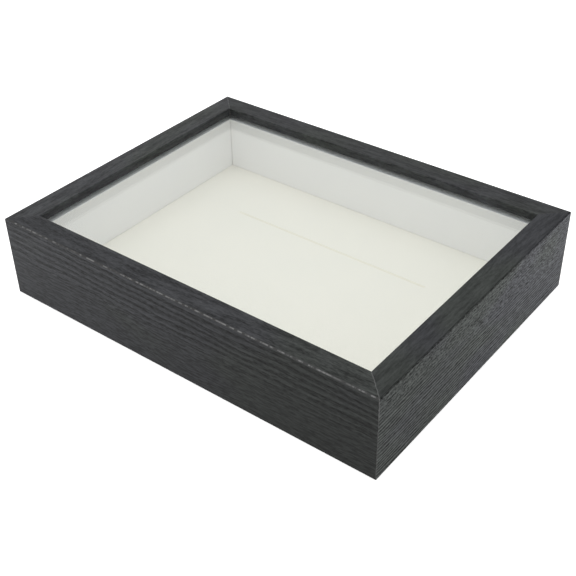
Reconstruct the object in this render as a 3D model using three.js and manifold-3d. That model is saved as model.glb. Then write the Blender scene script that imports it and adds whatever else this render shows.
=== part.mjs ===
// A wooden shadow box lying on its back. Four mitred, L-shaped rails hold a glass pane, a deep
// white liner, a cream display board and a back panel, which four turn buttons keep in place.
//
// Frame: millimetres, +X along the long side, +Y along the short side, +Z out through the glass.
// The origin is the middle of the back, level with the rails' back faces. Hung on its landscape
// hanger the box has +Y up, so the four sides are called bottom, right, top and left.

import * as THREE from 'three';
import { mergeVertices } from 'three/addons/utils/BufferGeometryUtils.js';
import Module from 'manifold-3d';

// The frame's outside.
const FRAME_LENGTH = 257;
const FRAME_WIDTH = 197;
const FRAME_DEPTH = 52;

// A rail's section: a wall, and a lip in front of the glass.
const WALL = 7.5;
const LIP_WIDTH = 14;
const LIP_THICKNESS = 5.4;
const OUTER_ROUND = 0.9;
const LIP_ROUND = 0.5;
const BACK_ROUND = 0.4;
const MITRE_GAP = 0.06;

// The pieces stacked in the frame, and their clearances to the rails and to each other. The stack
// has play, so while the box lies on its back the pane lies a little below the lip.
const SEAT_GAP = 0.05;
const STACK_PLAY = 1.95;
const GLASS_THICKNESS = 2;
const GLASS_SIDE_GAP = 1;
const LINER_THICKNESS = 6.3;
const LINER_SIDE_GAP = 0.2;
const BOARD_THICKNESS = 1.4;
const BOARD_SIDE_GAP = 0.5;
const PANEL_THICKNESS = 2;
const PANEL_SIDE_GAP = 0.75;
const PANEL_RECESS = 3.7;

// The crease pressed into the display board, along its length near the top liner strip.
const CREASE_LENGTH = 141;
const CREASE_WIDTH = 2.2;
const CREASE_DEPTH = 0.25;
const CREASE_TO_LINER = 44.8;

// The V-nail across each mitre, driven in from the back.
const NAIL_LEG = 5;
const NAIL_THICKNESS = 0.6;
const NAIL_HEIGHT = 10;
const NAIL_INSET = 2.6;
const NAIL_SINK = 0.4;
const NAIL_GAP = 0.15;

// Turn buttons, riveted to the panel, whose tips turn into slots milled in the long rails.
const BUTTON_SPACING = 140;
const BUTTON_THICKNESS = 1;
const BUTTON_REACH = 14;
const BUTTON_HEEL_RADIUS = 3.6;
const BUTTON_TIP_RADIUS = 2.8;
const PIVOT_INSET = 10;
const SLOT_GAP = 0.4;
const SLOT_END_GAP = 0.6;

// Rivets: one through each turn button, two through each hanger.
const RIVET_GAP = 0.15;
const BUTTON_RIVET = { headRadius: 2.9, headHeight: 1, shankRadius: 1.4 };
const HANGER_RIVET = { headRadius: 2, headHeight: 0.7, shankRadius: 0.9 };

// Sawtooth hangers: a strip with flat ends and a raised, toothed middle.
const HARDWARE_GAP = 0.1;
const HANGER_LENGTH = 45;
const HANGER_WIDTH = 9;
const HANGER_THICKNESS = 0.8;
const HANGER_RAISE = 1.2;
const HANGER_RAISED_LENGTH = 28;
const HANGER_RAMP = 2.5;
const HANGER_INSET = 14;
const HANGER_RIVET_INSET = 3.2;
const TOOTH_COUNT = 9;
const TOOTH_PITCH = 2.6;
const TOOTH_DEPTH = 1.6;

const ROUND_SIDES = 32;
const EDGE_STEPS = 4;
const OVERCUT = 1;

// The rabbet's opening between the rails' walls, and the space inside the liner.
const openingLength = FRAME_LENGTH - 2 * WALL;
const openingWidth = FRAME_WIDTH - 2 * WALL;
const displayWidth = openingWidth - 2 * (LINER_SIDE_GAP + LINER_THICKNESS);

// Heights of the stacked pieces, worked from the back panel forward and from the lip back.
const panelBack = PANEL_RECESS;
const panelFront = panelBack + PANEL_THICKNESS;
const boardBack = panelFront + SEAT_GAP;
const boardFront = boardBack + BOARD_THICKNESS;
const glassFront = FRAME_DEPTH - LIP_THICKNESS - STACK_PLAY;
const glassBack = glassFront - GLASS_THICKNESS;
const linerBack = boardFront + SEAT_GAP;
const linerFront = glassBack - SEAT_GAP;

// The faces of the hardware that look at the panel.
const hardwareFront = panelBack - HARDWARE_GAP;
const buttonBack = hardwareFront - BUTTON_THICKNESS;
const hangerBack = hardwareFront - HANGER_THICKNESS;

// The four sides. Each is built as the bottom one, looking in along +Y, and turned about Z.
const SIDES = [
  { name: 'bottom', turn: 0, length: FRAME_LENGTH, reach: FRAME_WIDTH / 2, long: true },
  { name: 'right', turn: Math.PI / 2, length: FRAME_WIDTH, reach: FRAME_LENGTH / 2, long: false },
  { name: 'top', turn: Math.PI, length: FRAME_LENGTH, reach: FRAME_WIDTH / 2, long: true },
  { name: 'left', turn: -Math.PI / 2, length: FRAME_WIDTH, reach: FRAME_LENGTH / 2, long: false },
];
const HANGER_SIDES = { top: 'landscape', left: 'portrait' };
const CORNER_NAMES = { bottom: 'bottom_right', right: 'top_right', top: 'top_left', left: 'bottom_left' };

const wasm = await Module();
wasm.setup();

const MATERIALS = {
  rail: new THREE.MeshStandardMaterial({ color: 0x2e2f2e, roughness: 0.5, metalness: 0 }),
  glass: new THREE.MeshStandardMaterial({
    color: 0xdfe8e6, roughness: 0.03, metalness: 0, transparent: true, opacity: 0.25,
  }),
  liner: new THREE.MeshStandardMaterial({ color: 0xecebe5, roughness: 0.75, metalness: 0 }),
  board: new THREE.MeshStandardMaterial({ color: 0xece9dc, roughness: 0.85, metalness: 0 }),
  panel: new THREE.MeshStandardMaterial({ color: 0x7d5b3c, roughness: 0.7, metalness: 0 }),
  steel: new THREE.MeshStandardMaterial({ color: 0xb4b4b0, roughness: 0.35, metalness: 1 }),
};

function toSolid(geometry) {
  geometry.deleteAttribute('normal');
  geometry.deleteAttribute('uv');
  const merged = mergeVertices(geometry);
  const vertProperties = new Float32Array(merged.attributes.position.array);
  const triVerts = new Uint32Array(merged.index.array);
  return new wasm.Manifold(new wasm.Mesh({ numProp: 3, vertProperties, triVerts }));
}

function toGeometry(solid) {
  const mesh = solid.getMesh();
  const geometry = new THREE.BufferGeometry();
  geometry.setAttribute('position', new THREE.BufferAttribute(mesh.vertProperties, 3));
  geometry.setIndex(new THREE.BufferAttribute(mesh.triVerts, 1));
  geometry.computeVertexNormals();
  return geometry;
}

/** The geometry with every cutter taken out of it. */
function cut(geometry, cutters) {
  let solid = toSolid(geometry);
  for (const cutter of cutters) {
    solid = solid.subtract(toSolid(cutter));
  }
  return toGeometry(solid);
}

/** A box from one corner to the opposite one. */
function boxBetween([x0, y0, z0], [x1, y1, z1]) {
  const box = new THREE.BoxGeometry(x1 - x0, y1 - y0, z1 - z0);
  return box.translate((x0 + x1) / 2, (y0 + y1) / 2, (z0 + z1) / 2);
}

/** A flat sheet centred on Z, between two heights. */
function sheet(length, width, back, front) {
  return boxBetween([-length / 2, -width / 2, back], [length / 2, width / 2, front]);
}

/** A disc or round bar about Z at x, y, between two heights. */
function disc(radius, x, y, back, front) {
  const bar = new THREE.CylinderGeometry(radius, radius, front - back, ROUND_SIDES);
  return bar.rotateX(Math.PI / 2).translate(x, y, (back + front) / 2);
}

/** An outline in X and Y extruded between two heights. */
function prism(outline, back, front) {
  const depth = front - back;
  const geometry = new THREE.ExtrudeGeometry(outline, { depth, bevelEnabled: false, curveSegments: ROUND_SIDES });
  return geometry.translate(0, 0, back);
}

/** A rail's section: x runs in from the outer face, y runs forward from the back face. */
function railSection() {
  const quarter = Math.PI / 2;
  const seat = FRAME_DEPTH - LIP_THICKNESS;
  const section = new THREE.Shape();
  section.moveTo(BACK_ROUND, 0);
  section.absarc(WALL - BACK_ROUND, BACK_ROUND, BACK_ROUND, -quarter, 0);
  section.lineTo(WALL, seat);
  section.absarc(LIP_WIDTH - LIP_ROUND, seat + LIP_ROUND, LIP_ROUND, -quarter, 0);
  section.absarc(LIP_WIDTH - LIP_ROUND, FRAME_DEPTH - LIP_ROUND, LIP_ROUND, 0, quarter);
  section.absarc(OUTER_ROUND, FRAME_DEPTH - OUTER_ROUND, OUTER_ROUND, quarter, 2 * quarter);
  section.absarc(BACK_ROUND, BACK_ROUND, BACK_ROUND, 2 * quarter, 3 * quarter);
  return section;
}

/** A rail with both ends mitred at 45 degrees: outer face on y = 0, back face on z = 0. */
function mitredBar(length) {
  const options = { depth: 1, bevelEnabled: false, curveSegments: EDGE_STEPS };
  const geometry = new THREE.ExtrudeGeometry(railSection(), options);
  const points = geometry.attributes.position;
  for (let i = 0; i < points.count; i += 1) {
    const inward = points.getX(i);
    const half = length / 2 - inward - MITRE_GAP / Math.SQRT2;
    const end = points.getZ(i) > 0.5 ? half : -half;
    points.setXYZ(i, end, inward, points.getY(i));
  }
  return geometry;
}

/** A V-nail's outline with its apex at the origin and legs along -X and +Y, grown by a clearance. */
function nailOutline(grow) {
  const leg = NAIL_LEG + grow;
  const inner = NAIL_THICKNESS + grow;
  const outline = new THREE.Shape();
  outline.moveTo(grow, -grow);
  outline.lineTo(grow, leg);
  outline.lineTo(-inner, leg);
  outline.lineTo(-inner, inner);
  outline.lineTo(-leg, inner);
  outline.lineTo(-leg, -grow);
  return outline;
}

/** The slot for the V-nail at one end of a rail: end is 1 at +X and -1 at -X. */
function nailSlot(length, end) {
  const slot = prism(nailOutline(NAIL_GAP), -OVERCUT, NAIL_SINK + NAIL_HEIGHT + NAIL_GAP);
  if (end < 0) {
    slot.rotateZ(-Math.PI / 2);
  }
  return slot.translate(end * (length / 2 - NAIL_INSET), NAIL_INSET, 0);
}

/** The slot that a turn button's tip turns into, milled round the button's pivot. */
function buttonSlot(x) {
  const radius = BUTTON_REACH + SLOT_END_GAP;
  return disc(radius, x, WALL + PIVOT_INSET, buttonBack - SLOT_GAP, hardwareFront + SLOT_GAP);
}

function railGeometry(side) {
  const cutters = [nailSlot(side.length, -1), nailSlot(side.length, 1)];
  if (side.long) {
    cutters.push(buttonSlot(-BUTTON_SPACING / 2), buttonSlot(BUTTON_SPACING / 2));
  }
  return cut(mitredBar(side.length), cutters);
}

/** A liner strip standing on the board against the wall: the long ones run through, the short
 *  ones butt between them. Its outer face is on y = 0. */
function linerGeometry(side) {
  const taken = side.long ? LINER_SIDE_GAP : LINER_SIDE_GAP + LINER_THICKNESS + SEAT_GAP;
  const half = side.length / 2 - WALL - taken;
  return boxBetween([-half, 0, linerBack], [half, LINER_THICKNESS, linerFront]);
}

function glassGeometry() {
  const length = openingLength - 2 * GLASS_SIDE_GAP;
  const width = openingWidth - 2 * GLASS_SIDE_GAP;
  return sheet(length, width, glassBack, glassFront);
}

function boardGeometry() {
  const length = openingLength - 2 * BOARD_SIDE_GAP;
  const width = openingWidth - 2 * BOARD_SIDE_GAP;
  const radius = (CREASE_WIDTH ** 2 / 4 + CREASE_DEPTH ** 2) / (2 * CREASE_DEPTH);
  const crease = new THREE.CylinderGeometry(radius, radius, CREASE_LENGTH, 4 * ROUND_SIDES);
  crease.rotateZ(Math.PI / 2);
  crease.translate(0, displayWidth / 2 - CREASE_TO_LINER, boardFront + radius - CREASE_DEPTH);
  return cut(sheet(length, width, boardBack, boardFront), [crease]);
}

/** Where a side's turn buttons pivot, as distances from the side's middle. */
function buttonPlaces(side) {
  return side.long ? [-BUTTON_SPACING / 2, BUTTON_SPACING / 2] : [];
}

/** Where a side's hanger is riveted, as distances from the side's middle. */
function hangerRivetPlaces(side) {
  const place = HANGER_LENGTH / 2 - HANGER_RIVET_INSET;
  return side.name in HANGER_SIDES ? [-place, place] : [];
}

function rivetHole(rivet, side, x, inset) {
  const hole = disc(
    rivet.shankRadius + RIVET_GAP, x, inset + WALL - side.reach, panelBack - OVERCUT, panelFront + OVERCUT,
  );
  return hole.rotateZ(side.turn);
}

function panelGeometry() {
  const length = openingLength - 2 * PANEL_SIDE_GAP;
  const width = openingWidth - 2 * PANEL_SIDE_GAP;
  const holes = SIDES.flatMap((side) => [
    ...buttonPlaces(side).map((x) => rivetHole(BUTTON_RIVET, side, x, PIVOT_INSET)),
    ...hangerRivetPlaces(side).map((x) => rivetHole(HANGER_RIVET, side, x, HANGER_INSET)),
  ]);
  return cut(sheet(length, width, panelBack, panelFront), holes);
}

/** A turn button on its pivot at the origin, with its tip towards -Y: two round ends joined by
 *  their common tangents. */
function buttonGeometry() {
  const tipCentre = BUTTON_REACH - BUTTON_TIP_RADIUS;
  const taper = Math.asin((BUTTON_HEEL_RADIUS - BUTTON_TIP_RADIUS) / tipCentre);
  const outline = new THREE.Shape();
  outline.absarc(0, 0, BUTTON_HEEL_RADIUS, -taper, Math.PI + taper);
  outline.absarc(0, -tipCentre, BUTTON_TIP_RADIUS, Math.PI + taper, 2 * Math.PI - taper);
  const hole = new THREE.Path();
  hole.absarc(0, 0, BUTTON_RIVET.shankRadius + RIVET_GAP, 0, 2 * Math.PI);
  outline.holes.push(hole);
  return prism(outline, buttonBack, hardwareFront);
}

/** A rivet with its domed head against a plate's back face, and its tail inside the panel. */
function rivetGeometry(rivet, plateBack) {
  const headFront = plateBack - HARDWARE_GAP;
  const profile = [];
  for (let i = 0; i <= EDGE_STEPS; i += 1) {
    const angle = (i / EDGE_STEPS) * (Math.PI / 2);
    const radius = rivet.headRadius * Math.sin(angle);
    profile.push(new THREE.Vector2(radius, headFront - rivet.headHeight * Math.cos(angle)));
  }
  profile.push(new THREE.Vector2(rivet.shankRadius, headFront));
  profile.push(new THREE.Vector2(rivet.shankRadius, panelFront - HARDWARE_GAP));
  profile.push(new THREE.Vector2(0, panelFront - HARDWARE_GAP));
  return new THREE.LatheGeometry(profile, ROUND_SIDES).rotateX(Math.PI / 2);
}

/** The notches between a hanger's teeth, along the edge that is lower when the box hangs. */
function toothNotches() {
  const edge = HANGER_WIDTH / 2;
  const start = (-TOOTH_COUNT * TOOTH_PITCH) / 2;
  const outline = new THREE.Shape();
  outline.moveTo(start, edge + OVERCUT);
  for (let i = 0; i < TOOTH_COUNT; i += 1) {
    outline.lineTo(start + i * TOOTH_PITCH, edge);
    outline.lineTo(start + (i + 0.5) * TOOTH_PITCH, edge - TOOTH_DEPTH);
  }
  outline.lineTo(-start, edge);
  outline.lineTo(-start, edge + OVERCUT);
  return prism(outline, -OVERCUT, hardwareFront + OVERCUT);
}

/** A sawtooth hanger centred on the origin in X and Y, with its teeth towards +Y. */
function hangerGeometry() {
  const end = HANGER_LENGTH / 2;
  const raised = HANGER_RAISED_LENGTH / 2;
  const foot = raised + HANGER_RAMP;
  const outline = new THREE.Shape();
  outline.moveTo(-end, hangerBack);
  outline.lineTo(-foot, hangerBack);
  outline.lineTo(-raised, hangerBack - HANGER_RAISE);
  outline.lineTo(raised, hangerBack - HANGER_RAISE);
  outline.lineTo(foot, hangerBack);
  outline.lineTo(end, hangerBack);
  outline.lineTo(end, hardwareFront);
  outline.lineTo(foot, hardwareFront);
  outline.lineTo(raised, hardwareFront - HANGER_RAISE);
  outline.lineTo(-raised, hardwareFront - HANGER_RAISE);
  outline.lineTo(-foot, hardwareFront);
  outline.lineTo(-end, hardwareFront);
  const strip = new THREE.ExtrudeGeometry(outline, { depth: HANGER_WIDTH, bevelEnabled: false });
  strip.rotateX(Math.PI / 2).translate(0, HANGER_WIDTH / 2, 0);
  const holeRadius = HANGER_RIVET.shankRadius + RIVET_GAP;
  const holeX = end - HANGER_RIVET_INSET;
  return cut(strip, [
    toothNotches(),
    disc(holeRadius, -holeX, 0, hangerBack - OVERCUT, hardwareFront + OVERCUT),
    disc(holeRadius, holeX, 0, hangerBack - OVERCUT, hardwareFront + OVERCUT),
  ]);
}

function addPiece(parent, name, geometry, material, x = 0, y = 0) {
  const piece = new THREE.Mesh(geometry, material);
  piece.name = name;
  piece.position.set(x, y, 0);
  parent.add(piece);
}

/** Left or right, seen from the front, for a place at x along a side. */
function handOf(side, x) {
  return x * Math.cos(side.turn) > 0 ? 'right' : 'left';
}

function addButtons(group, side) {
  const y = WALL + PIVOT_INSET - side.reach;
  for (const x of buttonPlaces(side)) {
    const place = `${side.name}_${handOf(side, x)}`;
    addPiece(group, `turn_button_${place}`, buttonGeometry(), MATERIALS.steel, x, y);
    addPiece(group, `button_rivet_${place}`, rivetGeometry(BUTTON_RIVET, buttonBack), MATERIALS.steel, x, y);
  }
}

function addHanger(group, side) {
  const use = HANGER_SIDES[side.name];
  const y = WALL + HANGER_INSET - side.reach;
  addPiece(group, `hanger_${use}`, hangerGeometry(), MATERIALS.steel, 0, y);
  hangerRivetPlaces(side).forEach((x, i) => {
    const rivet = rivetGeometry(HANGER_RIVET, hangerBack);
    addPiece(group, `hanger_rivet_${use}_${i + 1}`, rivet, MATERIALS.steel, x, y);
  });
}

/** One side of the box: its rail and liner strip, the V-nail at its +X end, and its hardware. */
function buildSide(side) {
  const group = new THREE.Group();
  group.rotation.z = side.turn;
  addPiece(group, `rail_${side.name}`, railGeometry(side), MATERIALS.rail, 0, -side.reach);
  const linerY = WALL + LINER_SIDE_GAP - side.reach;
  addPiece(group, `liner_${side.name}`, linerGeometry(side), MATERIALS.liner, 0, linerY);
  const nail = prism(nailOutline(0), NAIL_SINK, NAIL_SINK + NAIL_HEIGHT);
  const nailX = side.length / 2 - NAIL_INSET;
  addPiece(group, `corner_nail_${CORNER_NAMES[side.name]}`, nail, MATERIALS.steel, nailX, NAIL_INSET - side.reach);
  addButtons(group, side);
  if (side.name in HANGER_SIDES) {
    addHanger(group, side);
  }
  return group;
}

const shadowBox = new THREE.Group();
addPiece(shadowBox, 'glass_pane', glassGeometry(), MATERIALS.glass);
addPiece(shadowBox, 'display_board', boardGeometry(), MATERIALS.board);
addPiece(shadowBox, 'back_panel', panelGeometry(), MATERIALS.panel);
for (const side of SIDES) {
  shadowBox.add(buildSide(side));
}

export default shadowBox;
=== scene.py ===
import math

import bpy
from mathutils import Matrix, Vector


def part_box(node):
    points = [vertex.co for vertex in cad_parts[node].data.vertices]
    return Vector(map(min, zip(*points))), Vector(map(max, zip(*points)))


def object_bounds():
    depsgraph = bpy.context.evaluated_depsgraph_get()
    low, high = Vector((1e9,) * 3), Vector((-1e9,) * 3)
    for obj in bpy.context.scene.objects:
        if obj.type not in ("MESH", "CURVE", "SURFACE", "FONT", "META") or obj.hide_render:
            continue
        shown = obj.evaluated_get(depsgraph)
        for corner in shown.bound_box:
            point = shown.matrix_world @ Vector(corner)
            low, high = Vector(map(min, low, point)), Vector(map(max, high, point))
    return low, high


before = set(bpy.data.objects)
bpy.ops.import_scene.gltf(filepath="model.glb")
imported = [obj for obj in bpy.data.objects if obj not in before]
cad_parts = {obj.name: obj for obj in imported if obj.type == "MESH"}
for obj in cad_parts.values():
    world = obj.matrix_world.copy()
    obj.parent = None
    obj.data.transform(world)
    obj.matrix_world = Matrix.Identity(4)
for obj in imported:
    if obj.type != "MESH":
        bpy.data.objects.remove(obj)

# The looks of a black wood-grain shadow box lying on its back. Lengths are in metres, and in the
# materials' own coordinates in millimetres.

MM = 0.001
PER_METRE = 1000.0
CAD_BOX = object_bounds()
HALF_LENGTH, HALF_WIDTH, DEPTH = (PER_METRE * c for c in CAD_BOX[1])

# Where the camera stands, what it aims at, and how far it is rolled.
EYE = Vector((0.30777, -0.39050, 0.36336))
AIM = Vector((0.02162, -0.02785, 0.02600))
ROLL = math.radians(-1.113)
LENS = 64.04
SENSOR = 36.0

# The room's white light, the lamp over the box, and the floor it lies on.
ROOM_STRENGTH = 0.87
LAMP_PLACE = (-0.05, -0.05, 1.6)
LAMP_AIM = (0, 0, 0)
LAMP_SIZE = 1.8
LAMP_WATTS = 9.0
FLOOR_REACH = 6.0
FLOOR_GAP = 0.02 * MM
FLOOR_GLOW = 0.5

SIDES = ("bottom", "right", "top", "left")
CORNERS = ("bottom_left", "bottom_right", "top_left", "top_right")
LONG_SIDES = ("bottom", "top")

# The rail's section, as the CAD has it.
WALL = 7.5
LIP_WIDTH = 14.0
LIP_THICKNESS = 5.4
OUTER_ROUND = 0.9

# How far apart the foil's fine lines and its broad waves lie, how far each set wanders, and how
# far they sway together.
LINE_PERIOD = 2.05
WAVE_PERIOD = 4.3
WANDER = 9.0
SWAY = 6.0

# Noise lies around one half. These spans of it give a figure hard or soft edges.
CRISP = (0.38, 0.62)
CRISP_SPECKS = (0.37, 0.63)
SOFT = (0.3, 0.7)

# The sizes of the foil's features in millimetres, along the rail and across it.
SWAY_SIZE = (75.0, 60.0)
HAIR_SIZE = (6.0, 0.8)
SPECK_SIZE = (2.0, 0.75)
GRIT_SIZE = (3.2, 0.8)
CLEAR_SIZE = (12.0, 3.0)
CLOUD_SIZE = (34.0, 13.0)
PATCH_SIZE = (60.0, 30.0)
TOP_GRAIN_SIZE = (18.0, 2.6)
DASH_SIZE = (2.8, 1.0)
DASH_GROUP_SIZE = (24.0, 1.0)
SEAM_WOBBLE_SIZE = (2.0, 2.0)

# Where the figure of the grain is even, it lies at this share from dark to light.
EVEN_FIGURE = 0.38
EVEN_TOP_FIGURE = 0.4

# Shares of the depth between which the figure evens out on its way down, the rabbet changes from
# raw to sprayed, and the mitre's pale line gets stronger.
EVEN_SPAN = (0.65, 0.3)
SPRAY_SPAN = (0.3, 0.6)
SEAM_SPAN = (0.55, 0.9)

# The broad waves come up within this height. The border of the specks is shifted by a cloud, and
# crossed within a span of height, below which a few are left.
WAVE_RISE = 10.0
CLOUD_SHIFT = 16.0
SPECK_SPAN = (-4.0, 6.0)
FEW_SPECKS = 0.1

# The top face turns into the outer face within this span of unrolled height past the depth, and
# the lip's inner edge begins this far short of the lip's width.
TURN_SPAN = (0.8, -0.2)
LIP_SPAN = (0.7, 0.2)

# The rounded outer top edge, as how far height less distance inward falls short of the depth:
# from nothing to full for the whole round, which takes a painted light level, and for its crest,
# where the pale dashes lie.
ROUND_SPAN = (0.89, 0.75)
CREST_SPAN = (0.68, 0.56)

# How wide the mitre's pale line is, at its narrowest and widest.
SEAM_WIDTH = (0.12, 0.5)

# A face slants like a mitre's cut where the product of its normal's x and y is above this.
MITRE_SLANT = 0.46

# Tints of the foil, and colours of what lies under it.
GREENISH = (0.95, 1.03, 0.98)
BLUISH = (0.96, 0.99, 1.07)
LIP_LIGHT = 0.075
LIP_LIFT = 0.01
SEAM_LEVEL = 0.2
FIBRE_DARK = (0.20, 0.135, 0.08, 1.0)
FIBRE_PALE = (0.42, 0.31, 0.20, 1.0)
SPRAY_DARK = 0.1
SPRAY_PALE = 0.15

# How the foil differs from rail to rail. Heights are in millimetres up the outer face and on over
# the top. Pairs hold for the rail's two ends, the one towards -X or -Y first.
#   waves_from, waves      the height where broad waves take over from lines, and how fully they do
#   border, border_slope   the height where lines give way to specks, and its rise along the rail
#   specks                 how fully the specks replace the lines there
#   calm                   how far the figure evens out low on the face
#   clear                  the least share of lines, where short hairs take over from them
#   grit                   the share of fine grit over the lines
#   dark, light, painted_fade  the levels between which the outer face lies, painted light and shade set
#   per rail, and light's painted factor at the ends
#   painted_top_light, top_soft  the same painted light level for the top face, and how much figure that
#   face has
#   dash_level, dash_from  the level of the pale dashes, and how high their noise has to be at the ends
#   ior                    the foil's gloss
#   edge                   how far the rounded outer top edge goes to a painted light level of its own, and that level: a painted highlight on the bottom rail, painted shade on the others
#   seams                  how strongly the pale line along the mitre shows at the ends
#   blue                   how far the tint leans to blue at the ends
FOIL = {
    "bottom": {
        "waves_from": 24.0, "waves": 0.75, "border": 64.0, "border_slope": 0.05,
        "specks": 0.6, "calm": 0.45, "clear": 0.3, "grit": 0.3,
        "dark": 0.0, "light": 0.058, "painted_fade": (1.2, 0.67), "painted_top_light": 0.08, "top_soft": 0.5,
        "dash_level": 0.17, "dash_from": (0.45, 0.42), "ior": 1.18, "edge": (0.9, 0.05),
        "seams": (0.1, 0.4), "blue": (0.3, -0.16),
    },
    "right": {
        "waves_from": 90.0, "waves": 0.0, "border": 39.0, "border_slope": -0.12,
        "specks": 0.68, "calm": 0.0, "clear": 0.66, "grit": 0.32,
        "dark": 0.0, "light": 0.13, "painted_fade": (0.79, 1.15), "painted_top_light": 0.104, "top_soft": 0.22,
        "dash_level": 0.12, "dash_from": (0.75, 0.75), "ior": 1.08, "edge": (0.45, 0.002),
        "seams": (0.4, 0.1), "blue": (-0.12, 0.12),
    },
    "top": {
        "waves_from": 30.0, "waves": 0.5, "border": 60.0, "border_slope": 0.04,
        "specks": 0.7, "calm": 0.2, "clear": 0.4, "grit": 0.35,
        "dark": 0.002, "light": 0.075, "painted_fade": (1.0, 1.0), "painted_top_light": 0.069, "top_soft": 0.5,
        "dash_level": 0.14, "dash_from": (0.6, 0.6), "ior": 1.2, "edge": (0.5, 0.02),
        "seams": (0.3, 0.1), "blue": (0.0, 0.0),
    },
    "left": {
        "waves_from": 30.0, "waves": 0.6, "border": 66.0, "border_slope": -0.05,
        "specks": 0.6, "calm": 0.2, "clear": 0.4, "grit": 0.35,
        "dark": 0.002, "light": 0.075, "painted_fade": (1.0, 1.0), "painted_top_light": 0.093, "top_soft": 0.5,
        "dash_level": 0.14, "dash_from": (0.58, 0.58), "ior": 1.2, "edge": (0.5, 0.02),
        "seams": (0.1, 0.3), "blue": (0.0, 0.0),
    },
}

# The other materials' colours. Each pair is the darker and the paler of two that noise mixes.
PAPER = ((0.83, 0.825, 0.82, 1.0), (0.89, 0.885, 0.88, 1.0))
PAPER_CLOUD = (0.87, 0.865, 0.855, 1.0)
CORE = ((0.62, 0.63, 0.64, 1.0), (0.84, 0.85, 0.86, 1.0))
# A glue line with painted shade, for the liner's inner corners.
GLUE_AND_SHADE = (0.38, 0.37, 0.33, 1.0)
CREAM = ((0.80, 0.778, 0.71, 1.0), (0.84, 0.815, 0.75, 1.0))
CREAM_CLOUD = (0.81, 0.79, 0.725, 1.0)
CREASE = (0.77, 0.737, 0.63, 1.0)
HARDBOARD = ((0.085, 0.042, 0.02, 1.0), (0.20, 0.115, 0.06, 1.0))
HARDBOARD_CLOUD = (0.15, 0.08, 0.042, 1.0)
PANE_TINT = (0.985, 0.995, 0.99, 1.0)
PANE_SHADE = (0.965, 0.972, 0.97, 1.0)
ZINC_TINT = (0.97, 0.98, 1.0)
RIVET_TINT = (1.0, 1.0, 0.98)
STAIN_TINT = (1.05, 1.0, 0.92)

# How wide the eased edges of the pieces are, in millimetres.
EASE = {
    "rail": 0.12, "liner": 0.25, "glass": 0.25, "board": 0.15, "panel": 0.2,
    "button": 0.18, "button_rivet": 0.1, "nail": 0.08, "hanger": 0.12, "hanger_rivet": 0.08,
}


# ---------------------------------------------------------------- node helpers


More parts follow.
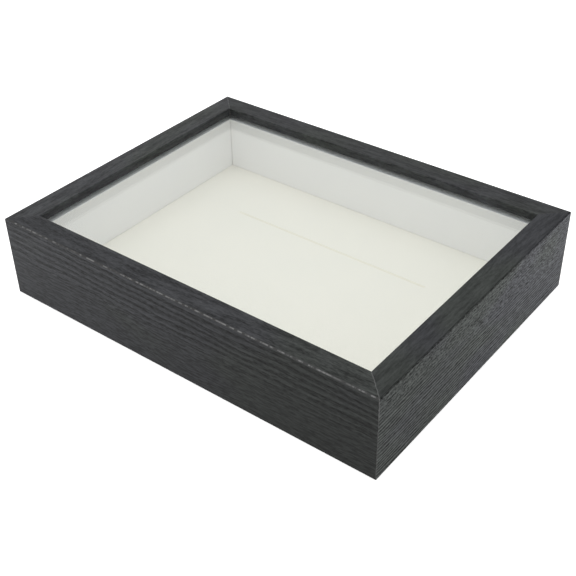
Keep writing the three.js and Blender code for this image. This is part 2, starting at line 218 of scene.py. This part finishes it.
class Nodes:
    """A material's node tree, with short ways to add and join its nodes."""

    def __init__(self, name):
        self.material = bpy.data.materials.new(name)
        self.material.use_nodes = True
        self.tree = self.material.node_tree
        self.tree.nodes.clear()
        self.output = self.add("ShaderNodeOutputMaterial")

    def add(self, kind, inputs=None, **settings):
        node = self.tree.nodes.new(kind)
        for key, value in settings.items():
            setattr(node, key, value)
        for key, value in (inputs or {}).items():
            self.set(node.inputs[key], value)
        return node

    def set(self, socket, value):
        if isinstance(value, bpy.types.NodeSocket):
            self.tree.links.new(value, socket)
        else:
            socket.default_value = value

    def math(self, operation, a, b=0.0, clamp=False):
        node = self.add("ShaderNodeMath", {0: a, 1: b}, operation=operation, use_clamp=clamp)
        return node.outputs[0]

    def ramp(self, value, low, high, to_low=0.0, to_high=1.0):
        """value taken smoothly from low..high to to_low..to_high, and held flat outside it."""
        inputs = {"Value": value, "From Min": low, "From Max": high, "To Min": to_low, "To Max": to_high}
        node = self.add("ShaderNodeMapRange", inputs, interpolation_type="SMOOTHSTEP")
        return node.outputs["Result"]

    def mix(self, share, a, b):
        """A colour share of the way from a to b."""
        node = self.add("ShaderNodeMix", data_type="RGBA")
        self.set(node.inputs["Factor"], share)
        self.set(node.inputs["A"], a)
        self.set(node.inputs["B"], b)
        return node.outputs["Result"]

    def blend(self, share, a, b):
        """A number share of the way from a to b."""
        return self.add("ShaderNodeMix", {"Factor": share, "A": a, "B": b}).outputs["Result"]

    def scale_colour(self, colour, level):
        node = self.add("ShaderNodeVectorMath", {0: colour, "Scale": level}, operation="SCALE")
        return node.outputs[0]

    def place(self):
        """x, y and z on the piece, in millimetres."""
        point = self.add("ShaderNodeTexCoord").outputs["Object"]
        scaled = self.add("ShaderNodeVectorMath", {0: point, "Scale": PER_METRE}, operation="SCALE")
        return self.add("ShaderNodeSeparateXYZ", {0: scaled.outputs[0]}).outputs

    def facing(self):
        """x, y and z of the way the surface faces, without bumps or smoothing."""
        normal = self.add("ShaderNodeNewGeometry").outputs["True Normal"]
        return self.add("ShaderNodeSeparateXYZ", {0: normal}).outputs

    def vector(self, x, y, z):
        return self.add("ShaderNodeCombineXYZ", {0: x, 1: y, 2: z}).outputs[0]

    def noise(self, vector, detail=2.0, roughness=0.5):
        inputs = {"Vector": vector, "Scale": 1.0, "Detail": detail, "Roughness": roughness}
        return self.add("ShaderNodeTexNoise", inputs).outputs["Fac"]

    def grain(self, point, sizes, detail=2.0, roughness=0.5):
        """Noise with features of the given sizes in millimetres along x, y and z."""
        scaled = [self.math("DIVIDE", c, size) for c, size in zip(point, sizes)]
        return self.noise(self.vector(*scaled), detail, roughness)

    def haze(self, x, y, sizes, level, detail=2.0):
        """Noise over x and y alone, cut through at one level."""
        scaled = [self.math("DIVIDE", c, size) for c, size in zip((x, y), sizes)]
        return self.noise(self.vector(*scaled, level), detail)

    def streaks(self, along, across, size, seed, detail=2.0, roughness=0.5):
        """Noise drawn out along the grain: size is its feature size along it and across it."""
        run, pitch = size
        point = self.vector(self.math("DIVIDE", along, run), self.math("DIVIDE", across, pitch), seed)
        return self.noise(point, detail, roughness)

    def comb(self, along, across, period, seed):
        """Nearly parallel lines along the grain, a period apart, that wander and break off."""
        drift = self.streaks(along, across, (34.0, 2.4 * period), seed)
        turns = self.math("MULTIPLY", across, math.tau / period)
        phase = self.math("ADD", turns, self.math("MULTIPLY", drift, WANDER))
        return self.ramp(self.math("SINE", phase), -0.3, 0.85)

    def bump(self, height, distance_mm, strength):
        inputs = {"Height": height, "Distance": distance_mm * MM, "Strength": strength}
        return self.add("ShaderNodeBump", inputs).outputs["Normal"]

    def principled(self, **inputs):
        named = {key.replace("_", " "): value for key, value in inputs.items()}
        shader = self.add("ShaderNodeBsdfPrincipled", named)
        self.set(self.output.inputs["Surface"], shader.outputs[0])
        return shader

    def choose(self, share, a, b):
        """The surface is shader a, or b where share is one."""
        chosen = self.add("ShaderNodeMixShader", {0: share, 1: a.outputs[0], 2: b.outputs[0]})
        self.set(self.output.inputs["Surface"], chosen.outputs[0])


def grey(level, tint=(1.0, 1.0, 1.0)):
    return (level * tint[0], level * tint[1], level * tint[2], 1.0)


# ---------------------------------------------------------------- materials


def foil_material(side):
    """A rail: black wood-grain foil on the faces that show, raw fibreboard where it is cut. Its light
    levels are painted light and shade for how light falls on that rail.
    """
    n = Nodes(f"foil_{side}")
    x, y, z = n.place()
    look = FOIL[side]
    is_long = side in LONG_SIDES
    along, sideways = (x, y) if is_long else (y, x)
    half_across, half_along = (HALF_WIDTH, HALF_LENGTH) if is_long else (HALF_LENGTH, HALF_WIDTH)
    inward = n.math("SUBTRACT", half_across, n.math("ABSOLUTE", sideways))
    end_gap = n.math("SUBTRACT", half_along, n.math("ABSOLUTE", along))
    from_mitre = n.math("ABSOLUTE", n.math("SUBTRACT", inward, end_gap))
    unrolled = n.math("ADD", z, inward)
    seed = 3.7 * (SIDES.index(side) + 1)

    def end_to_end(pair):
        return n.ramp(along, -half_along, half_along, *pair)

    # The grain's lines run along the rail and sway gently across it.
    sway = n.streaks(along, unrolled, SWAY_SIZE, seed, 1.0)
    across = n.math("ADD", unrolled, n.math("MULTIPLY", sway, SWAY))
    lines = n.comb(along, across, LINE_PERIOD, seed + 1.0)
    waves = n.comb(along, across, WAVE_PERIOD, seed + 3.0)
    hairs = n.ramp(n.streaks(along, across, HAIR_SIZE, seed + 2.0, 1.0), *CRISP)
    specks = n.ramp(n.streaks(along, unrolled, SPECK_SIZE, seed + 4.0, 3.0, 0.65), *CRISP_SPECKS)
    grit = n.ramp(n.streaks(along, unrolled, GRIT_SIZE, seed + 4.2, 2.0, 0.6), *CRISP)
    low = n.ramp(unrolled, *(DEPTH * share for share in EVEN_SPAN), 0.0, look["calm"])
    clear = n.ramp(n.streaks(along, across, CLEAR_SIZE, seed + 4.5), 0.34, 0.54, look["clear"], 1.0)
    clear = n.math("SUBTRACT", clear, n.math("MULTIPLY", low, 1.7), clamp=True)
    cloud = n.streaks(along, unrolled, CLOUD_SIZE, seed + 5.0)
    patch = n.streaks(along, unrolled, PATCH_SIZE, seed + 6.0, 1.0)

    # Where the broad waves and the speckled stretches lie differs from rail to rail.
    waviness = n.ramp(across, look["waves_from"], look["waves_from"] + WAVE_RISE, 0.0, look["waves"])
    border = n.math("ADD", n.math("MULTIPLY", along, look["border_slope"]), look["border"])
    height = n.math("ADD", unrolled, n.math("MULTIPLY", cloud, CLOUD_SHIFT))
    speckled = n.ramp(n.math("SUBTRACT", height, border), *SPECK_SPAN, FEW_SPECKS, look["specks"])
    streaky = n.blend(clear, hairs, n.blend(waviness, lines, waves))
    figure = n.blend(speckled, n.blend(look["grit"], streaky, grit), specks)
    figure = n.blend(low, figure, EVEN_FIGURE)

    # The top face has softer streaks and a painted light level of its own, and the lip's inner edge a
    # level of its own.
    outer = n.ramp(unrolled, *(DEPTH + past for past in TURN_SPAN))
    soft = n.ramp(n.streaks(along, across, TOP_GRAIN_SIZE, seed + 9.0, 4.0, 0.6), *SOFT)
    calmed = n.blend(0.45 * look["top_soft"], n.blend(look["top_soft"], EVEN_TOP_FIGURE, soft), grit)
    figure = n.blend(outer, calmed, figure)
    lip = n.ramp(inward, *(LIP_WIDTH - short for short in LIP_SPAN))
    blueness = n.math("ADD", patch, end_to_end(look["blue"]))
    tinted = n.mix(n.ramp(blueness, 0.35, 0.65), grey(1.0, GREENISH), grey(1.0, BLUISH))
    # The outer face's light level, its fade towards the ends and the top face's level are painted light
    # and shade, set per rail for how light falls on each face.
    strength = n.math("MULTIPLY", look["light"], end_to_end(look["painted_fade"]))
    strength = n.blend(outer, look["painted_top_light"], strength)
    strength = n.blend(lip, strength, LIP_LIGHT)
    level = n.blend(figure, look["dark"], strength)
    level = n.math("ADD", level, n.math("MULTIPLY", lip, LIP_LIFT))
    foil = n.scale_colour(tinted, level)

    # The rounded outer top edge takes a painted light level of its own, a painted highlight on the
    # bottom rail and painted shade on the others, with pale dashes along its crest.
    edge = n.math("SUBTRACT", z, inward)
    crest = n.ramp(edge, *(DEPTH - short for short in CREST_SPAN))
    on_edge = n.ramp(edge, *(DEPTH - short for short in ROUND_SPAN))
    dash_noise = n.streaks(along, 0.0, DASH_SIZE, seed + 7.0, 3.0, 0.6)
    dashes = n.ramp(n.math("SUBTRACT", dash_noise, end_to_end(look["dash_from"])), 0.0, 0.18)
    groups = n.ramp(n.streaks(along, 0.0, DASH_GROUP_SIZE, seed + 7.5, 1.0), 0.3, 0.5, 0.25, 1.0)
    dashes = n.math("MULTIPLY", dashes, groups)
    # The round's own level is painted light: lighter on the bottom rail, darker on the others.
    painted_edge_share, painted_edge_level = look["edge"]
    foil = n.mix(n.math("MULTIPLY", on_edge, painted_edge_share), foil, grey(painted_edge_level))
    foil = n.mix(n.math("MULTIPLY", crest, dashes), foil, grey(look["dash_level"]))

    # A pale line along each mitre, fainter low on the face.
    wobble = n.streaks(along, n.math("ADD", inward, z), SEAM_WOBBLE_SIZE, seed + 8.0)
    seam = n.math("LESS_THAN", from_mitre, n.ramp(wobble, *SOFT, *SEAM_WIDTH))
    seam = n.math("MULTIPLY", seam, n.ramp(along, -10.0, 10.0, *look["seams"]))
    seam = n.math("MULTIPLY", seam, n.ramp(z, *(DEPTH * share for share in SEAM_SPAN), 0.5, 1.0))
    foil = n.mix(seam, foil, grey(SEAM_LEVEL))

    # Raw fibreboard: the rabbet, and the cut mitre faces. Towards the lip it is sprayed dark.
    fibreboard = n.mix(specks, FIBRE_DARK, FIBRE_PALE)
    sprayed = n.mix(specks, grey(SPRAY_DARK), grey(SPRAY_PALE))
    fibreboard = n.mix(n.ramp(z, *(DEPTH * share for share in SPRAY_SPAN)), fibreboard, sprayed)
    facing = n.facing()
    slanted = n.math("MULTIPLY", n.math("ABSOLUTE", facing[0]), n.math("ABSOLUTE", facing[1]))
    cut_face = n.math("GREATER_THAN", slanted, MITRE_SLANT)
    below_round = n.math("LESS_THAN", z, DEPTH - OUTER_ROUND)
    wrapped = n.math("MINIMUM", below_round, n.math("GREATER_THAN", inward, OUTER_ROUND))
    cut_face = n.math("MULTIPLY", cut_face, wrapped)
    below_lip = n.math("LESS_THAN", z, DEPTH - LIP_THICKNESS + 0.1)
    rabbet = n.math("MULTIPLY", n.math("GREATER_THAN", inward, WALL - 0.2), below_lip)
    colour = n.mix(n.math("MAXIMUM", cut_face, rabbet), foil, fibreboard)

    relief = n.math("ADD", n.math("MULTIPLY", streaky, 0.8), n.math("MULTIPLY", specks, 0.35))
    n.principled(
        Base_Color=colour, Roughness=n.ramp(figure, 0.0, 1.0, 0.4, 0.55), IOR=look["ior"],
        Normal=n.bump(relief, 0.06, 0.35),
    )
    return n.material


def glass_material():
    """Clear float glass. Lamps shine straight through it, so what it covers is lit cleanly."""
    n = Nodes("clear_glass")
    x, y, z = n.place()
    smear = n.haze(x, y, (60.0, 22.0), 4.0, 3.0)
    roughness = n.ramp(smear, 0.45, 0.8, 0.0, 0.012)
    pane = n.add("ShaderNodeBsdfGlass", {"Color": PANE_TINT, "Roughness": roughness, "IOR": 1.38})
    clear = n.add("ShaderNodeBsdfTransparent", {"Color": PANE_SHADE})
    path = n.add("ShaderNodeLightPath").outputs
    n.choose(n.math("MAXIMUM", path["Is Shadow Ray"], path["Is Diffuse Ray"]), pane, clear)
    return n.material


def liner_material():
    """White paper over board: its grey core is bare along the cut edges, and its inner corners are
    darkened, a glue line with painted shade.
    """
    n = Nodes("liner_paper")
    x, y, z = n.place()
    fibre = n.grain((x, y, z), (1.3, 1.3, 0.9), 4.0, 0.6)
    cloud = n.grain((x, y, z), (38.0, 38.0, 14.0))
    paper = n.mix(n.ramp(fibre, *SOFT), *PAPER)
    paper = n.mix(n.ramp(cloud, *SOFT), paper, PAPER_CLOUD)
    core = n.mix(fibre, *CORE)
    level_face = n.math("GREATER_THAN", n.math("ABSOLUTE", n.facing()[2]), 0.8)
    colour = n.mix(level_face, paper, core)
    # The inner corners are darkened: a glue line with painted shade where the walls meet.
    inner = (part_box("liner_right")[0].x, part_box("liner_top")[0].y)
    past = [n.math("SUBTRACT", n.math("ABSOLUTE", c), PER_METRE * at) for c, at in zip((x, y), inner)]
    glue_and_shade = n.ramp(n.math("MINIMUM", *past), -0.9, -0.3, 0.0, 0.2)
    colour = n.mix(glue_and_shade, colour, GLUE_AND_SHADE)
    n.principled(Base_Color=colour, Roughness=0.8, IOR=1.35, Normal=n.bump(fibre, 0.05, 0.3))
    return n.material


def board_material():
    """Smooth cream paper, a little darker and yellower along the crease."""
    n = Nodes("board_paper")
    x, y, z = n.place()
    fibre = n.grain((x, y, z), (0.9, 0.9, 0.9), 4.0, 0.65)
    cloud = n.haze(x, y, (55.0, 55.0), 7.0)
    paper = n.mix(n.ramp(fibre, *SOFT), *CREAM)
    paper = n.mix(n.ramp(cloud, 0.35, 0.65), paper, CREAM_CLOUD)
    low, high = (PER_METRE * c.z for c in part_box("display_board"))
    in_crease = n.ramp(z, high - 0.25, high - 0.01, 1.0, 0.0)
    on_face = n.math("GREATER_THAN", z, low + 1.0)
    colour = n.mix(n.math("MULTIPLY", in_crease, on_face), paper, CREASE)
    n.principled(Base_Color=colour, Roughness=0.85, IOR=1.35, Normal=n.bump(fibre, 0.05, 0.25))
    return n.material


def hardboard_material():
    """Brown hardboard, smooth with short darker fibres."""
    n = Nodes("hardboard")
    x, y, z = n.place()
    flecks = n.grain((x, y, z), (2.4, 0.9, 0.9), 5.0, 0.7)
    cloud = n.haze(x, y, (40.0, 40.0), 2.0, 3.0)
    base = n.mix(n.ramp(flecks, 0.32, 0.68), *HARDBOARD)
    colour = n.mix(n.math("MULTIPLY", cloud, 0.5), base, HARDBOARD_CLOUD)
    roughness = n.ramp(flecks, *SOFT, 0.5, 0.68)
    n.principled(Base_Color=colour, Roughness=roughness, Normal=n.bump(flecks, 0.05, 0.35))
    return n.material


def steel_material(name, tint, run_along_x):
    """Plated or bare steel with fine rolling lines and soft stains."""
    n = Nodes(name)
    x, y, z = n.place()
    along, across = (x, y) if run_along_x else (y, x)
    lines = n.streaks(along, n.math("ADD", across, z), (12.0, 0.16), 2.0, 3.0, 0.6)
    stain = n.grain((x, y, z), (4.0, 4.0, 4.0), 4.0, 0.6)
    bright = n.mix(lines, grey(0.50, tint), grey(0.72, tint))
    colour = n.mix(n.ramp(stain, 0.45, 0.75, 0.0, 0.6), bright, grey(0.36, STAIN_TINT))
    n.principled(
        Base_Color=colour, Metallic=1.0, Roughness=n.ramp(stain, 0.3, 0.75, 0.24, 0.46),
        Normal=n.bump(lines, 0.02, 0.3),
    )
    return n.material


def floor_material():
    """White, and giving some light back, so no shadow shows. From below it is clear."""
    n = Nodes("pale_floor")
    x, y, z = n.place()
    shade = n.mix(n.haze(x, y, (400.0, 400.0), 0.0, 1.0), grey(0.92), grey(0.94))
    paint = n.principled(
        Base_Color=shade, Roughness=0.9, IOR=1.2, Emission_Color=grey(1.0), Emission_Strength=FLOOR_GLOW,
    )
    from_below = n.add("ShaderNodeNewGeometry").outputs["Backfacing"]
    n.choose(from_below, paint, n.add("ShaderNodeBsdfTransparent"))
    return n.material


# ---------------------------------------------------------------- pieces


def soften(node, material, width_mm, segments=2):
    """A CAD node as it is, with its sharp edges eased and a new material."""
    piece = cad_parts[node]
    piece.data.materials.clear()
    piece.data.materials.append(material)
    piece.data.polygons.foreach_set("use_smooth", [True] * len(piece.data.polygons))
    weld = piece.modifiers.new("weld", "WELD")
    weld.merge_threshold = 0.002 * MM
    flat = piece.modifiers.new("flat", "DECIMATE")
    flat.decimate_type = "DISSOLVE"
    flat.angle_limit = math.radians(0.5)
    ease = piece.modifiers.new("ease", "BEVEL")
    ease.width = width_mm * MM
    ease.segments = segments
    ease.limit_method = "ANGLE"
    ease.angle_limit = math.radians(32)
    ease.use_clamp_overlap = True
    piece.modifiers.new("shade", "WEIGHTED_NORMAL").keep_sharp = False


def dress_the_box():
    for side in SIDES:
        soften(f"rail_{side}", foil_material(side), EASE["rail"])
    liner = liner_material()
    for side in SIDES:
        soften(f"liner_{side}", liner, EASE["liner"])
    soften("glass_pane", glass_material(), EASE["glass"], 1)
    soften("display_board", board_material(), EASE["board"])
    soften("back_panel", hardboard_material(), EASE["panel"])


def dress_the_hardware():
    plated = steel_material("zinc_plate", ZINC_TINT, True)
    plated_across = steel_material("zinc_plate_across", ZINC_TINT, False)
    rivet = steel_material("rivet_steel", RIVET_TINT, True)
    for corner in CORNERS:
        soften(f"turn_button_{corner}", plated_across, EASE["button"])
        soften(f"button_rivet_{corner}", rivet, EASE["button_rivet"])
        soften(f"corner_nail_{corner}", rivet, EASE["nail"])
    for use, material in (("landscape", plated), ("portrait", plated_across)):
        soften(f"hanger_{use}", material, EASE["hanger"])
        for number in (1, 2):
            soften(f"hanger_rivet_{use}_{number}", rivet, EASE["hanger_rivet"])


# ---------------------------------------------------------------- stage


def add_floor():
    mesh = bpy.data.meshes.new("floor")
    r = FLOOR_REACH
    mesh.from_pydata([(-r, -r, 0.0), (r, -r, 0.0), (r, r, 0.0), (-r, r, 0.0)], [], [(0, 1, 2, 3)])
    mesh.materials.append(floor_material())
    floor = bpy.data.objects.new("floor", mesh)
    floor.location.z = CAD_BOX[0].z - FLOOR_GAP
    bpy.context.scene.collection.objects.link(floor)


def add_room():
    """White light from all round. The camera sees a fully white backdrop in its place."""
    world = bpy.data.worlds.new("white_room")
    world.use_nodes = True
    tree = world.node_tree
    room = tree.nodes["Background"]
    room.inputs["Color"].default_value = grey(1.0)
    room.inputs["Strength"].default_value = ROOM_STRENGTH
    backdrop = tree.nodes.new("ShaderNodeBackground")
    backdrop.inputs["Color"].default_value = grey(1.0)
    seen = tree.nodes.new("ShaderNodeLightPath")
    choice = tree.nodes.new("ShaderNodeMixShader")
    tree.links.new(seen.outputs["Is Camera Ray"], choice.inputs[0])
    tree.links.new(room.outputs[0], choice.inputs[1])
    tree.links.new(backdrop.outputs[0], choice.inputs[2])
    tree.links.new(choice.outputs[0], tree.nodes["World Output"].inputs["Surface"])
    bpy.context.scene.world = world
    bpy.context.scene.view_settings.view_transform = "Standard"


def add_lamp():
    lamp = bpy.data.lights.new("softbox_above", "AREA")
    lamp.shape = "DISK"
    lamp.size = LAMP_SIZE
    lamp.energy = LAMP_WATTS
    holder = bpy.data.objects.new("softbox_above", lamp)
    holder.location = LAMP_PLACE
    aim = Vector(LAMP_AIM) - Vector(LAMP_PLACE)
    holder.rotation_euler = aim.to_track_quat("-Z", "Y").to_euler()
    bpy.context.scene.collection.objects.link(holder)


def add_camera():
    data = bpy.data.cameras.new("camera")
    data.lens = LENS
    data.sensor_width = SENSOR
    camera = bpy.data.objects.new("camera", data)
    look = (AIM - EYE).to_track_quat("-Z", "Y").to_matrix()
    camera.matrix_world = Matrix.Translation(EYE) @ (look @ Matrix.Rotation(ROLL, 3, "Z")).to_4x4()
    bpy.context.scene.collection.objects.link(camera)
    bpy.context.scene.camera = camera


add_camera()
add_room()
add_lamp()
add_floor()
dress_the_box()
dress_the_hardware()
